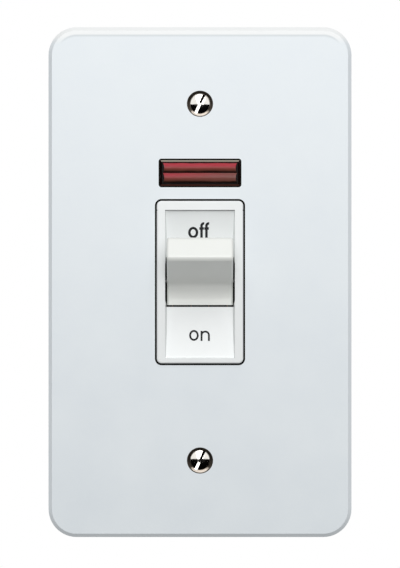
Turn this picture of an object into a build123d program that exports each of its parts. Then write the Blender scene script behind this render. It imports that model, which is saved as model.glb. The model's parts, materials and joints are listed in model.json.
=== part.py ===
from build123d import *
import os
from math import asin, cos, degrees, hypot, radians, sin, sqrt, tan

# Double-pole high-current switch with an indicator lamp on a large steel front plate.
# Millimetres, X to the right, Z up, the front faces -Y. The wall is the plane y = 0, and the
# origin is the middle of the two fixing screws on that plane. The dolly is up, which is off.

# Front plate: pressed steel pan with a bevelled edge
plate_width = 102.5
plate_height = 172.5
plate_depth = 5.5
sheet = 1.2
plate_corner = 9.5
plate_bevel = 1.2

# Fixing screws: raised countersunk, in pressed dimples
fixing_centres = 120.6
fixing_shank_r = 1.75
fixing_neck_r = 1.5
fixing_neck = 3.0
fixing_head_r = 3.45
fixing_dome = 0.95
fixing_length = 38.0
fixing_hole_r = 1.95
dimple_r = 4.4
dimple_floor = 3.4
slot_width = 0.9
slot_depth = 0.9
slot_lean = 25.0

# Gasket: black fibre sheet between the plate and the flanges behind it
gasket_thick = 0.6

# Bezel: moulding that stands through the plate, with two dished label panels
bezel_width = 29.2
bezel_height = 54.9
bezel_corner = 1.6
bezel_edge = 0.5
bezel_proud = 1.0
bezel_gap = 0.6
bezel_flange = 2.2
flange_thick = 1.4
recess_width = 23.6
recess_height = 50.2
recess_drop = 0.7
recess_step = 0.9
recess_draft = 15.0
dish_depth = 2.4
panel_sag = 0.35
opening_half = 8.4

# Dolly: wide lever with concave flanks, rocking on two trunnions
lever_tilt = 30.0
lever_length = 23.2
lever_width = 22.2
nose_thick = 9.0
nose_round = 1.6
side_bevel = 0.5
flank_taper = 1.0
flank_curve = 6.4
pivot_depth = 5.0
skirt_set_back = 0.3
skirt_gap = 0.65
skirt_thick = 1.6
housing_half = 3.7
housing_length = 8.5
trunnion_r = 2.2
trunnion_length = 3.0

# Plungers and springs, one for each pole
pole_x = 6.2
plunger_r = 2.2
plunger_tip_r = 1.5
plunger_reach = 12.0
plunger_seat = 2.0
plunger_shoulder = 3.2
bore_front = 6.0
spring_wire = 0.5
spring_r = 1.6
spring_turns = 4

# Contact arms: copper see-saws on a fulcrum ridge
fulcrum_distance = 14.0
fulcrum_r = 0.8
arm_width = 5.4
arm_back = 0.3
arm_strip = 1.6
arm_land = 4.4
arm_land_end = 6.8
arm_top = 17.0
contact_reach = 14.0
contact_travel = 3.4
moving_contact_r = 2.2
moving_contact_height = 1.3
moving_contact_dome = 0.4
fixed_contact_r = 2.5
fixed_contact_height = 1.2

# Terminals: brass blocks with a cable bore and a clamping screw
strip_width = 6.0
strip_thick = 1.6
terminal_width = 11.0
terminal_depth = 12.5
terminal_length = 12.0
terminal_x = 9.2
terminal_edge = 0.5
cable_bore_r = 3.3
cable_bore_set = 5.1
terminal_screw_r = 2.4
terminal_head_r = 3.3
terminal_head = 2.2

# Base moulding, rear cover and what fixes them
base_half_width = 20.0
base_corner = 2.5
base_edge = 0.8
load_terminal_z = 31.5
supply_terminal_z = -26.0
terminal_recess = 2.0
chamber_above = 18.5
chamber_below = 8.6
pillar_x = 24.4
pillar_r = 3.2
ear_y = 2.7
ear_thick = 3.0
ear_half_height = 5.0
ear_corner = 3.0
base_screw_r = 1.5
base_head_r = 2.9
base_head = 2.0
base_screw_length = 9.0
cover_half_width = 15.0
cover_thick = 2.4
cover_corner = 1.6
cover_rim = 1.4
cover_rim_height = 0.8
cover_screw_r = 1.2
cover_head_r = 2.4
cover_head = 1.4
cover_screw_length = 8.0
cover_screw_inset = 4.5

# Indicator lamp behind its red lens
lens_width = 27.0
lens_height = 8.7
lens_above = 5.1
lens_proud = 0.8
lens_corner = 0.5
lens_bevel = 1.0
lens_gap = 0.45
lens_flange = 1.6
lens_flange_thick = 1.2
flute_height = 0.45
holder_margin = 0.7
holder_back = 5.0
holder_wall = 1.8
lamp_r = 2.4
lamp_wall = 0.4
lamp_y = 0.3
lamp_pinch_x = -0.9
lamp_body_x = 1.0
lamp_tip_x = 11.5
pinch_r = 1.5
electrode_r = 0.45
electrode_spacing = 1.6
electrode_length = 6.0
lead_r = 0.35
lead_turn = 2.0
lead_rise = 3.7
lead_x = 10.5
resistor_r = 1.2
resistor_length = 6.0
resistor_x = -6.4

# Earth terminal on the back of the plate
earth_x = 30.0
earth_z = -46.0
earth_size = 8.0
earth_edge = 0.4
earth_bore_r = 2.25
earth_wall = 2.2
earth_screw_r = 1.9
earth_head_r = 2.7
earth_head = 1.8

# Clearances
running_fit = 0.08
seat_gap = 0.05
sweep_gap = 0.4
side_gap = 0.7
pocket_gap = 0.15
track_gap = 0.2
contact_gap = 0.1
rim_gap = 0.5

# How far a cut runs on past a face
through = 1.0

# Levels from front to back
plate_face = -plate_depth
sheet_back = plate_face + sheet
bezel_face = plate_face - bezel_proud
flange_front = sheet_back + gasket_thick
flange_back = flange_front + flange_thick
lip_y = bezel_face + dish_depth
pivot_y = lip_y + pivot_depth
pivot_z = 0.0
fulcrum_y = pivot_y + fulcrum_distance

# The skirt's tip in the lever's own frame: along the lever, and out from its middle plane
tilt = radians(lever_tilt)
skirt_front = pivot_depth - skirt_set_back
skirt_drop = opening_half - skirt_gap
skirt_along = skirt_front * cos(tilt) - skirt_drop * sin(tilt)
skirt_out = skirt_front * sin(tilt) + skirt_drop * cos(tilt)
skirt_sweep = hypot(skirt_front, skirt_drop)
housing_sweep = hypot(housing_length, housing_half)
swing_r = max(skirt_sweep, housing_sweep) + sweep_gap
cavity_half_width = lever_width / 2 + side_gap

# The arm's rock, and the round track that the plunger's tip follows on it
arm_tilt = degrees(asin(contact_travel / 2 / contact_reach))
tip_centre = plunger_reach - plunger_tip_r
arm_turn = radians(arm_tilt)
end_y = tip_centre * cos(tilt) - fulcrum_distance
end_z = tip_centre * sin(tilt)
track_end_back = end_y * cos(arm_turn) - end_z * sin(arm_turn)
track_end_up = end_y * sin(arm_turn) + end_z * cos(arm_turn)
track_mid_back = tip_centre - fulcrum_distance
track_rise = track_end_back ** 2 + track_end_up ** 2 - track_mid_back ** 2
track_centre = track_rise / 2 / (track_end_back - track_mid_back)
track_r = track_mid_back - track_centre + plunger_tip_r + track_gap

# The fixed contact meets the moving one when the arm is rocked back
button_back = moving_contact_height - arm_back
contact_y = fulcrum_y + button_back * cos(arm_turn) + contact_reach * sin(arm_turn) + contact_gap
contact_z = pivot_z + contact_reach * cos(arm_turn) - button_back * sin(arm_turn)
strip_front = contact_y + fixed_contact_height
base_back = strip_front + strip_thick
terminal_front = base_back - terminal_depth
cable_bore_y = terminal_front + cable_bore_set
load_end = load_terminal_z + terminal_length
supply_end = supply_terminal_z - terminal_length
lens_z = bezel_height / 2 + lens_above + lens_height / 2
holder_front = flange_front + lens_flange_thick
holder_half_width = lens_width / 2 + lens_flange + holder_margin
holder_half_height = lens_height / 2 + lens_flange + holder_margin
step_z = lens_z - holder_half_height - sweep_gap
chamber_inner = pole_x - strip_width / 2 - sweep_gap
chamber_outer = pole_x + strip_width / 2 + sweep_gap
chamber_front = fulcrum_y - arm_land - arm_land_end * sin(arm_turn) - sweep_gap
base_top = load_end + terminal_recess
base_bottom = supply_end - terminal_recess
cover_top = load_terminal_z - pocket_gap
cover_bottom = supply_terminal_z + pocket_gap
cover_screw_heights = (cover_bottom + cover_screw_inset, cover_top - cover_screw_inset)
lower_lead_z = lens_z - electrode_spacing / 2
upper_lead_z = lens_z + electrode_spacing / 2
return_lead_z = lens_z + lead_rise
earth_bore_y = earth_bore_r + rim_gap
earth_back = earth_bore_y + earth_bore_r + earth_wall


def block(x_span, y_span, z_span):
    """A box between pairs of coordinates."""
    spans = (x_span, y_span, z_span)
    middle = [(low + high) / 2 for low, high in spans]
    sides = [high - low for low, high in spans]
    return Pos(*middle) * Box(*sides)


def rod(radius, start, end):
    """A round bar between two points."""
    along = Vector(*end) - Vector(*start)
    bar = Cylinder(radius, along.length, align=(Align.CENTER, Align.CENTER, Align.MIN))
    return Plane(origin=start, z_dir=along) * bar


def window(width, height, corner, z, front, back):
    """A prism with a round-cornered rectangular outline, from its front to its back level."""
    outline = Plane(origin=(0, back, z), x_dir=(1, 0, 0), z_dir=(0, -1, 0))
    return extrude(outline * RectangleRounded(width, height, corner), amount=back - front)


def turned(points, x, z):
    """A solid turned about a front-to-back axis, from (radius, y) points."""
    profile = make_face(Polyline(*points, close=True))
    return revolve(Pos(x, 0, z) * profile, Axis((x, 0, z), (0, 1, 0)))


def swing_plane(y, z, angle):
    """A side plane turned about X: its first axis points back, its second up, its third along X."""
    lean = radians(angle)
    return Plane(origin=(0, y, z), x_dir=(0, cos(lean), sin(lean)), z_dir=(1, 0, 0))


def rounded(face, corners):
    """Round corners of a flat face, given as ((x, y), radius)."""
    for (x, y), radius in corners:
        corner = min(face.vertices(), key=lambda vertex: hypot(vertex.X - x, vertex.Y - y))
        face = fillet(corner, radius)
    return face


def pair(solid):
    """The right-hand solid with its mirror image on the left, as (name, solid)."""
    return (("left", mirror(solid, Plane.YZ)), ("right", solid))


dolly_plane = swing_plane(pivot_y, pivot_z, -lever_tilt)
arm_plane = swing_plane(fulcrum_y, pivot_z, arm_tilt)


def pan(width, height, corner, depth, bevel):
    """A solid pan with a bevelled front edge."""
    body = window(width, height, corner, 0, -depth, 0)
    return chamfer(body.faces().sort_by(Axis.Y)[0].edges(), bevel)


def front_plate():
    """Pressed pan, with pierced windows and two pressed dimples for the fixing screws."""
    outer = pan(plate_width, plate_height, plate_corner, plate_depth, plate_bevel)
    inner = pan(plate_width - 2 * sheet, plate_height - 2 * sheet, plate_corner - sheet,
                plate_depth - sheet, plate_bevel - sheet * (2 - sqrt(2)))
    plate = outer - inner
    gap = 2 * bezel_gap
    plate -= window(bezel_width + gap, bezel_height + gap, bezel_corner + bezel_gap, 0,
                    plate_face - through, 0)
    gap = 2 * lens_gap
    plate -= window(lens_width + gap, lens_height + gap, lens_corner + lens_gap, lens_z,
                    plate_face - through, 0)
    rear_r = dimple_r + sheet * sqrt(2) - sheet
    floor_y = plate_face + dimple_floor
    for z in (-fixing_centres / 2, fixing_centres / 2):
        plate += turned([(0, sheet_back), (rear_r, sheet_back),
                         (rear_r - floor_y + sheet_back, floor_y), (0, floor_y)], 0, z)
        plate -= turned([(0, plate_face), (dimple_r, plate_face),
                         (0, plate_face + dimple_r)], 0, z)
        plate -= rod(fixing_hole_r, (0, plate_face, z), (0, 0, z))
    return plate


def fixing_screw(z):
    """Slotted raised countersunk screw, its cone seated in the dimple, its thread behind the plate."""
    rim = plate_face + dimple_r - fixing_head_r - seat_gap
    neck = rim + fixing_head_r - fixing_neck_r
    thread = neck + fixing_neck
    sphere = (fixing_head_r ** 2 + fixing_dome ** 2) / 2 / fixing_dome
    half = fixing_head_r / 2
    half_y = rim - fixing_dome + sphere - sqrt(sphere ** 2 - half ** 2)
    top = (0, rim - fixing_dome)
    dome = ThreePointArc(top, (half, half_y), (fixing_head_r, rim))
    tip = neck + fixing_length
    side = Polyline((fixing_head_r, rim), (fixing_neck_r, neck), (fixing_neck_r, thread),
                    (fixing_shank_r, thread), (fixing_shank_r, tip), (0, tip), top)
    profile = make_face([dome, side])
    screw = revolve(Pos(0, 0, z) * profile, Axis((0, 0, z), (0, 1, 0)))
    slot = Box(slot_width, 2 * slot_depth, 3 * fixing_head_r)
    return screw - Pos(0, rim - fixing_dome, z) * Rot(0, slot_lean, 0) * slot


def gasket():
    """One sheet for both windows of the plate, pierced for the bezel and the lens."""
    top = lens_z + lens_height / 2 + lens_flange
    bottom = -bezel_height / 2 - bezel_flange
    sheet_mid = (top + bottom) / 2
    body = window(bezel_width + 2 * bezel_flange, top - bottom, bezel_flange, sheet_mid, sheet_back,
                  flange_front)
    for width, height, corner, z in ((bezel_width, bezel_height, bezel_corner, 0),
                                     (lens_width, lens_height, lens_corner, lens_z)):
        body -= window(width + 2 * seat_gap, height + 2 * seat_gap, corner + seat_gap, z, sheet_back,
                       flange_front)
    return body


def recess():
    """The dish of the bezel: two hollow panels that fall to the opening, between drafted walls."""
    top = recess_height / 2 - recess_drop
    bottom = top - recess_height
    step = bezel_face + recess_step
    sag_y = (step + lip_y) / 2 + panel_sag
    upper = ThreePointArc((step, top), (sag_y, (top + opening_half) / 2), (lip_y, opening_half))
    lower = ThreePointArc((lip_y, -opening_half), (sag_y, (bottom - opening_half) / 2), (step, bottom))
    floor = Line((lip_y, opening_half), (lip_y, -opening_half))
    rest = Polyline((step, bottom), (bezel_face, bottom), (bezel_face, top), (step, top))
    dish = extrude(Plane.YZ * make_face([upper, floor, lower, rest]), amount=recess_width / 2, both=True)
    mouth = Plane(origin=(0, bezel_face, -recess_drop), x_dir=(1, 0, 0), z_dir=(0, 1, 0))
    outline = mouth * Rectangle(recess_width, recess_height)
    return dish & extrude(outline, amount=dish_depth, taper=recess_draft)


def bezel():
    """Moulding with two dished panels, a flange behind the gasket and trunnion keepers."""
    body = window(bezel_width, bezel_height, bezel_corner, 0, bezel_face, flange_back)
    body = fillet(body.faces().sort_by(Axis.Y)[0].edges(), bezel_edge)
    body += window(bezel_width + 2 * bezel_flange, bezel_height + 2 * bezel_flange,
                   bezel_corner + bezel_flange, 0, flange_front, flange_back)
    body -= recess()
    half = recess_width / 2
    body -= block((-half, half), (lip_y - through, flange_back + through),
                  (pivot_z - opening_half, pivot_z + opening_half))
    body -= rod(skirt_sweep + sweep_gap, (-half, pivot_y, pivot_z), (half, pivot_y, pivot_z))
    keeper = block((cavity_half_width + running_fit, lever_width / 2 + trunnion_length),
                   (flange_back, pivot_y - trunnion_r - running_fit),
                   (pivot_z - trunnion_r, pivot_z + trunnion_r))
    for _, keeper_block in pair(keeper):
        body += keeper_block
    return body


def dolly_outline():
    """The lever's side outline in its own frame, with the nose towards -x."""
    slope = tan(radians(flank_taper))
    nose_half = nose_thick / 2
    rise = skirt_out - nose_half + (lever_length - skirt_along) * slope
    rise = rise / (cos(tilt) + sin(tilt) * slope)
    knee = (-skirt_along - rise * sin(tilt), skirt_out - rise * cos(tilt))
    inner = (-skirt_along + skirt_thick * cos(tilt), skirt_out - skirt_thick * sin(tilt))
    drop = (inner[1] - housing_half) / cos(tilt)
    hub = (inner[0] - drop * sin(tilt), housing_half)
    half = [(-lever_length, nose_half), knee, (-skirt_along, skirt_out), inner, hub,
            (housing_length, housing_half)]
    other = [(x, -y) for x, y in reversed(half)]
    face = make_face(Polyline(*half, *other, close=True))
    corners = [(half[0], nose_round), (other[-1], nose_round),
               (knee, flank_curve), (other[-2], flank_curve)]
    return rounded(face, corners)


def dolly():
    """One moulding: lever, skirts, trunnions and the housings of the two plungers."""
    body = extrude(dolly_plane * dolly_outline(), amount=lever_width / 2, both=True)
    forward = [edge for edge in body.edges()
               if abs(edge.center().X) > lever_width / 2 - seat_gap
               and dolly_plane.to_local_coords(edge.center()).X < -skirt_along - skirt_thick]
    body = chamfer(forward, side_bevel)
    reach = lever_width / 2 + trunnion_length
    body += rod(trunnion_r, (-reach, pivot_y, pivot_z), (reach, pivot_y, pivot_z))
    rear = housing_length + through
    bore = Pos(-bore_front, 0, 0) * Rot(0, 90, 0) * Cylinder(
        plunger_r + running_fit, bore_front + rear, align=(Align.CENTER, Align.CENTER, Align.MIN))
    slot_half = pole_x - plunger_r - skirt_thick
    outer = pole_x + plunger_r + skirt_thick
    tall = 2 * housing_half + through
    middle_slot = Pos((rear + trunnion_r) / 2, 0, 0) * Box(rear - trunnion_r, tall, 2 * slot_half)
    cheek = lever_width / 2 - outer
    notch_start = trunnion_r + skirt_thick
    notch = Pos((rear + notch_start) / 2, 0, outer + cheek) * Box(rear - notch_start, tall, 2 * cheek)
    body -= dolly_plane * middle_slot
    for side in (-1, 1):
        body -= dolly_plane * (Pos(0, 0, side * pole_x) * bore)
    for _, cut in pair(dolly_plane * notch):
        body -= cut
    return body


def plunger():
    """Moulded plunger with a round tip, guided in the dolly's bore."""
    shoulder = plunger_reach - plunger_shoulder
    tip = plunger_tip_r * sqrt(0.5)
    nose = ThreePointArc((tip_centre, plunger_tip_r), (tip_centre + tip, tip), (plunger_reach, 0))
    body = Polyline((plunger_reach, 0), (plunger_seat, 0), (plunger_seat, plunger_r),
                    (shoulder, plunger_r), (tip_centre, plunger_tip_r))
    solid = revolve(make_face([nose, body]), Axis.X)
    return dolly_plane * (Pos(0, 0, pole_x) * solid)


def plunger_spring():
    """Helical compression spring between the bore's end and the plunger."""
    length = bore_front + plunger_seat - spring_wire - 2 * seat_gap
    coil = Helix(length / spring_turns, length, spring_r)
    start_plane = Plane(origin=coil @ 0, x_dir=(1, 0, 0), z_dir=coil % 0)
    wire = sweep(start_plane * Rectangle(spring_wire, spring_wire), path=coil, is_frenet=True)
    start = spring_wire / 2 + seat_gap - bore_front
    return dolly_plane * (Pos(start, 0, pole_x) * Rot(0, 90, 0) * wire)


def contact_arm():
    """Copper see-saw: a cupped track in front, a groove for the fulcrum behind."""
    front = arm_back + arm_strip
    outline = Polyline((-arm_back, -arm_land_end), (-arm_back, arm_top), (-front, arm_top),
                       (-front, arm_land_end), (-arm_land, arm_land_end),
                       (-arm_land, -arm_land_end), close=True)
    face = make_face(outline) - Pos(track_centre, 0) * Circle(track_r)
    face -= Circle(fulcrum_r + running_fit)
    solid = extrude(arm_plane * face, amount=arm_width / 2, both=True)
    return Pos(pole_x, 0, 0) * solid


def moving_contact():
    """Domed silver button on the back of the arm's upper end."""
    rim = moving_contact_height - moving_contact_dome - arm_back
    crown = moving_contact_height - arm_back
    sphere = (moving_contact_r ** 2 + moving_contact_dome ** 2) / 2 / moving_contact_dome
    half = moving_contact_r / 2
    half_x = crown - sphere + sqrt(sphere ** 2 - half ** 2)
    dome = ThreePointArc((crown, 0), (half_x, half), (rim, moving_contact_r))
    side = Polyline((rim, moving_contact_r), (-arm_back, moving_contact_r), (-arm_back, 0), (crown, 0))
    button = revolve(make_face([dome, side]), Axis.X)
    return arm_plane * (Pos(0, contact_reach, pole_x) * button)


def fixed_contact():
    """Flat silver button on the load terminal's strip."""
    return rod(fixed_contact_r, (pole_x, contact_y, contact_z), (pole_x, strip_front, contact_z))


def terminal_block(low, high):
    """Brass block with a cable bore along Z and a screw hole from the back."""
    middle = (low + high) / 2
    half = terminal_width / 2
    body = block((terminal_x - half, terminal_x + half), (terminal_front, base_back), (low, high))
    body = chamfer(body.edges().filter_by(Axis.Z), terminal_edge)
    body -= rod(cable_bore_r, (terminal_x, cable_bore_y, low - through),
                (terminal_x, cable_bore_y, high + through))
    body -= rod(terminal_screw_r + seat_gap, (terminal_x, cable_bore_y, middle),
                (terminal_x, base_back + through, middle))
    return body


def contact_strip(low, high):
    """Flat strip that runs from a terminal block to its contact or fulcrum."""
    half = strip_width / 2
    return block((pole_x - half, pole_x + half), (strip_front, base_back), (low, high))


def load_terminal():
    """Block at the top end, with the strip of the fixed contact."""
    strip = contact_strip(contact_z - fixed_contact_r - sweep_gap, load_terminal_z)
    return terminal_block(load_terminal_z, load_end) + strip


def supply_terminal():
    """Block at the bottom end, with a strip up to the fulcrum ridge."""
    strip = contact_strip(supply_terminal_z, pivot_z + strip_width / 2)
    half = arm_width / 2
    ridge = block((pole_x - half, pole_x + half), (fulcrum_y, strip_front),
                  (pivot_z - fulcrum_r, pivot_z + fulcrum_r))
    ridge += rod(fulcrum_r, (pole_x - half, fulcrum_y, pivot_z), (pole_x + half, fulcrum_y, pivot_z))
    return terminal_block(supply_end, supply_terminal_z) + strip + ridge


def headed_screw(x, z, shank_r, head_r, tip_y, seat_y, head):
    """Cheese-headed screw put in from the back."""
    top = seat_y + head
    return turned([(0, tip_y), (shank_r, tip_y), (shank_r, seat_y), (head_r, seat_y),
                   (head_r, top), (0, top)], x, z)


def terminal_screws():
    """Four clamping screws, each just clear of its empty cable bore."""
    screws = []
    for low, high in ((supply_end, supply_terminal_z), (load_terminal_z, load_end)):
        screw = headed_screw(terminal_x, (low + high) / 2, terminal_screw_r, terminal_head_r,
                             cable_bore_y + cable_bore_r, base_back + sweep_gap, terminal_head)
        screws += [solid for _, solid in pair(screw)]
    return Compound(screws)


def base():
    """Moulded housing: dolly well, two pole chambers, terminal pockets, bearings and ears."""
    wide = 2 * base_half_width
    body = window(wide, base_top - base_bottom, base_corner, (base_top + base_bottom) / 2,
                  holder_back, base_back)
    body = chamfer(body.faces().sort_by(Axis.Y)[-1].edges(), base_edge)
    body += window(wide, step_z - base_bottom, base_corner, (step_z + base_bottom) / 2,
                   flange_back, holder_back)
    ear_end = pillar_x + pillar_r + sheet
    body += window(2 * ear_end, 2 * ear_half_height, ear_corner, 0, ear_y, ear_y + ear_thick)
    well = cavity_half_width
    body -= block((-well, well), (flange_back, pivot_y + swing_r), (pivot_z - swing_r, pivot_z + swing_r))
    chamber = block((chamber_inner, chamber_outer), (chamber_front, base_back),
                    (pivot_z - chamber_below, pivot_z + chamber_above))
    half = strip_width / 2 + pocket_gap
    channel = block((pole_x - half, pole_x + half), (strip_front - pocket_gap, base_back),
                    (supply_terminal_z, load_terminal_z))
    pocket_half = terminal_width / 2 + pocket_gap
    pocket_x = (terminal_x - pocket_half, terminal_x + pocket_half)
    load_pocket = block(pocket_x, (terminal_front, base_back), (load_terminal_z - pocket_gap, base_top))
    supply_pocket = block(pocket_x, (terminal_front, base_back),
                          (base_bottom, supply_terminal_z + pocket_gap))
    bearing_r = trunnion_r + running_fit
    bearing_end = lever_width / 2 + trunnion_length + sweep_gap
    bearing = rod(bearing_r, (well - through, pivot_y, pivot_z), (bearing_end, pivot_y, pivot_z))
    bearing += block((well - through, bearing_end), (flange_back, pivot_y),
                     (pivot_z - bearing_r, pivot_z + bearing_r))
    ear_hole = rod(base_screw_r + running_fit, (pillar_x, ear_y - through, 0), (pillar_x, base_back, 0))
    for cut in (chamber, channel, load_pocket, supply_pocket, bearing, ear_hole):
        for _, solid in pair(cut):
            body -= solid
    for z in cover_screw_heights:
        body -= rod(cover_screw_r + seat_gap, (0, base_back - cover_screw_length, z), (0, base_back, z))
    for x, z in ((-lead_x, lower_lead_z), (lead_x, return_lead_z)):
        body -= rod(2 * lead_r, (x, holder_back, z), (x, terminal_front, z))
    return body


def rear_cover():
    """Insulating plate with a raised rim, which holds the contact strips in the base."""
    wide = 2 * cover_half_width
    tall = cover_top - cover_bottom
    middle = (cover_top + cover_bottom) / 2
    back = base_back + cover_thick
    rim_back = back + cover_rim_height
    plate = window(wide, tall, cover_corner, middle, base_back, rim_back)
    plate -= window(wide - 2 * cover_rim, tall - 2 * cover_rim, cover_corner, middle, back, rim_back)
    for z in cover_screw_heights:
        plate -= rod(cover_screw_r + sweep_gap, (0, base_back, z), (0, back, z))
    return plate


def cover_screws():
    """Two screws through the cover into the barrier between the poles."""
    seat = base_back + cover_thick
    tip = base_back - cover_screw_length + sweep_gap
    return Compound([headed_screw(0, z, cover_screw_r, cover_head_r, tip, seat, cover_head)
                     for z in cover_screw_heights])


def mounting_pillars():
    """Two tapped pillars riveted to the back of the plate."""
    pillar = rod(pillar_r, (pillar_x, sheet_back, 0), (pillar_x, ear_y, 0))
    pillar -= rod(base_screw_r + seat_gap, (pillar_x, sheet_back + sheet, 0), (pillar_x, ear_y, 0))
    return Compound([solid for _, solid in pair(pillar)])


def base_screws():
    """Two screws through the base's ears into the pillars."""
    seat = ear_y + ear_thick
    screw = headed_screw(pillar_x, 0, base_screw_r, base_head_r, seat - base_screw_length + ear_thick,
                         seat, base_head)
    return Compound([solid for _, solid in pair(screw)])


def neon_lens():
    """Red lens: two flutes along a bevelled front, and a flange behind the plate."""
    front = plate_face - lens_proud
    valley = front + flute_height
    shoulder = valley + lens_bevel
    half = lens_height / 2
    crest = half - lens_bevel
    flutes = [ThreePointArc((valley, low), (front, (low + high) / 2), (valley, high))
              for low, high in ((-crest, 0), (0, crest))]
    rest = Polyline((valley, crest), (shoulder, half), (holder_front, half), (holder_front, -half),
                    (shoulder, -half), (valley, -crest))
    side = Plane(origin=(0, 0, lens_z), x_dir=(0, 1, 0), z_dir=(1, 0, 0))
    body = extrude(side * make_face([*flutes, rest]), amount=lens_width / 2, both=True)
    end = lens_width / 2
    above = front - through
    bevelled_end = end - shoulder + above
    plan = Polyline((-end, holder_front), (-end, shoulder), (-bevelled_end, above),
                    (bevelled_end, above), (end, shoulder), (end, holder_front), close=True)
    body &= extrude(Pos(0, 0, lens_z) * make_face(plan), amount=lens_height, both=True)
    body &= window(lens_width, lens_height, lens_corner, lens_z, above, holder_front)
    return body + window(lens_width + 2 * lens_flange, lens_height + 2 * lens_flange, lens_flange, lens_z,
                         flange_front, holder_front)


def neon_holder():
    """Moulded tray that clamps the lens to the plate and carries the lamp."""
    wide = (-holder_half_width, holder_half_width)
    body = block(wide, (holder_front, holder_back),
                 (lens_z - holder_half_height, lens_z + holder_half_height))
    wide = holder_half_width - holder_wall
    tall = holder_half_height - holder_wall
    body -= block((-wide, wide), (holder_front, holder_back - holder_wall), (lens_z - tall, lens_z + tall))
    for x, z in ((-lead_x, lower_lead_z), (lead_x, return_lead_z)):
        body -= rod(lead_r + seat_gap, (x, holder_back - 2 * holder_wall, z), (x, holder_back, z))
    saddle_x = (lamp_body_x + lamp_r, lamp_body_x + lamp_r + holder_wall)
    body += block(saddle_x, (lamp_y, holder_back - holder_wall), (lens_z - tall, lens_z + tall - lead_rise))
    body -= rod(lamp_r + seat_gap, (saddle_x[0] - through, lamp_y, lens_z),
                (saddle_x[1] + through, lamp_y, lens_z))
    return body


def neon_lamp():
    """Glass envelope, hollow, with a round tip and a pinched end for the leads."""
    shoulder = lamp_tip_x - lamp_r
    bend = lamp_r * sqrt(0.5)
    dome = ThreePointArc((shoulder, lamp_r), (shoulder + bend, bend), (lamp_tip_x, 0))
    side = Polyline((lamp_tip_x, 0), (lamp_pinch_x, 0), (lamp_pinch_x, pinch_r), (lamp_body_x, pinch_r),
                    (lamp_body_x, lamp_r), (shoulder, lamp_r))
    glass = revolve(make_face([dome, side]), Axis.X)
    glass -= rod(lamp_r - lamp_wall, (lamp_body_x + lamp_wall, 0, 0), (shoulder, 0, 0))
    return Pos(0, lamp_y, lens_z) * glass


def neon_electrodes():
    """Two parallel rods inside the glass."""
    start = lamp_body_x + lamp_wall
    return Compound([rod(electrode_r, (start, lamp_y, z), (start + electrode_length, lamp_y, z))
                     for z in (lower_lead_z, upper_lead_z)])


def neon_resistor():
    """Series resistor in the live lead."""
    half = resistor_length / 2
    return rod(resistor_r, (resistor_x - half, lamp_y, lower_lead_z),
               (resistor_x + half, lamp_y, lower_lead_z))


def wire(points):
    """A round lead through the points, with square bends."""
    path = Polyline(*points)
    start = Plane(origin=path @ 0, z_dir=path % 0)
    return sweep(start * Circle(lead_r), path=path, transition=Transition.RIGHT)


def neon_lead_live():
    """From the lamp to the resistor, and from the resistor back to the left load terminal."""
    half = resistor_length / 2
    inner = rod(lead_r, (resistor_x + half, lamp_y, lower_lead_z), (lamp_pinch_x, lamp_y, lower_lead_z))
    outer = wire([(resistor_x - half, lamp_y, lower_lead_z), (-lead_x, lamp_y, lower_lead_z),
                  (-lead_x, terminal_front, lower_lead_z)])
    return Compound([inner, outer])


def neon_lead_neutral():
    """From the lamp over its glass and back to the right load terminal."""
    turn_x = lamp_pinch_x - lead_turn
    return wire([(lamp_pinch_x, lamp_y, upper_lead_z), (turn_x, lamp_y, upper_lead_z),
                 (turn_x, lamp_y, return_lead_z), (lead_x, lamp_y, return_lead_z),
                 (lead_x, terminal_front, return_lead_z)])


def earth_terminal():
    """Brass block fixed to the back of the plate, with a cable bore and a screw hole."""
    half = earth_size / 2
    body = block((earth_x - half, earth_x + half), (sheet_back, earth_back),
                 (earth_z - half, earth_z + half))
    body = chamfer(body.edges().filter_by(Axis.Z), earth_edge)
    body -= rod(earth_bore_r, (earth_x, earth_bore_y, earth_z - half),
                (earth_x, earth_bore_y, earth_z + half))
    body -= rod(earth_screw_r + seat_gap, (earth_x, earth_bore_y, earth_z),
                (earth_x, earth_back, earth_z))
    return body


def earth_screw():
    """Clamping screw of the earth terminal."""
    return headed_screw(earth_x, earth_z, earth_screw_r, earth_head_r, earth_bore_y + earth_bore_r,
                        earth_back + sweep_gap, earth_head)


nodes = {
    "front_plate": front_plate(),
    "fixing_screws": Compound([fixing_screw(z) for z in (-fixing_centres / 2, fixing_centres / 2)]),
    "gasket": gasket(),
    "bezel": bezel(),
    "dolly": dolly(),
    "base": base(),
    "rear_cover": rear_cover(),
    "cover_screws": cover_screws(),
    "mounting_pillars": mounting_pillars(),
    "base_screws": base_screws(),
    "terminal_screws": terminal_screws(),
    "neon_lens": neon_lens(),
    "neon_holder": neon_holder(),
    "neon_lamp": neon_lamp(),
    "neon_electrodes": neon_electrodes(),
    "neon_resistor": neon_resistor(),
    "neon_lead_live": neon_lead_live(),
    "neon_lead_neutral": neon_lead_neutral(),
    "earth_terminal": earth_terminal(),
    "earth_screw": earth_screw(),
}
pole_pieces = {
    "plunger": plunger(),
    "plunger_spring": plunger_spring(),
    "contact_arm": contact_arm(),
    "moving_contact": moving_contact(),
    "fixed_contact": fixed_contact(),
    "load_terminal": load_terminal(),
    "supply_terminal": supply_terminal(),
}
for name, piece in pole_pieces.items():
    for side, solid in pair(piece):
        nodes[f"{name}_{side}"] = solid

os.makedirs("parts", exist_ok=True)
for name, solid in nodes.items():
    export_step(solid, f"parts/{name}.step")
print(f"pivot y {pivot_y:.3f} z {pivot_z:.3f}, fulcrum y {fulcrum_y:.3f}")
print(f"arm tilt {arm_tilt:.4f}, cable bore y {cable_bore_y:.3f}, base back {base_back:.3f}")
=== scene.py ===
import json
from math import cos, pi, radians, sin

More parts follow.
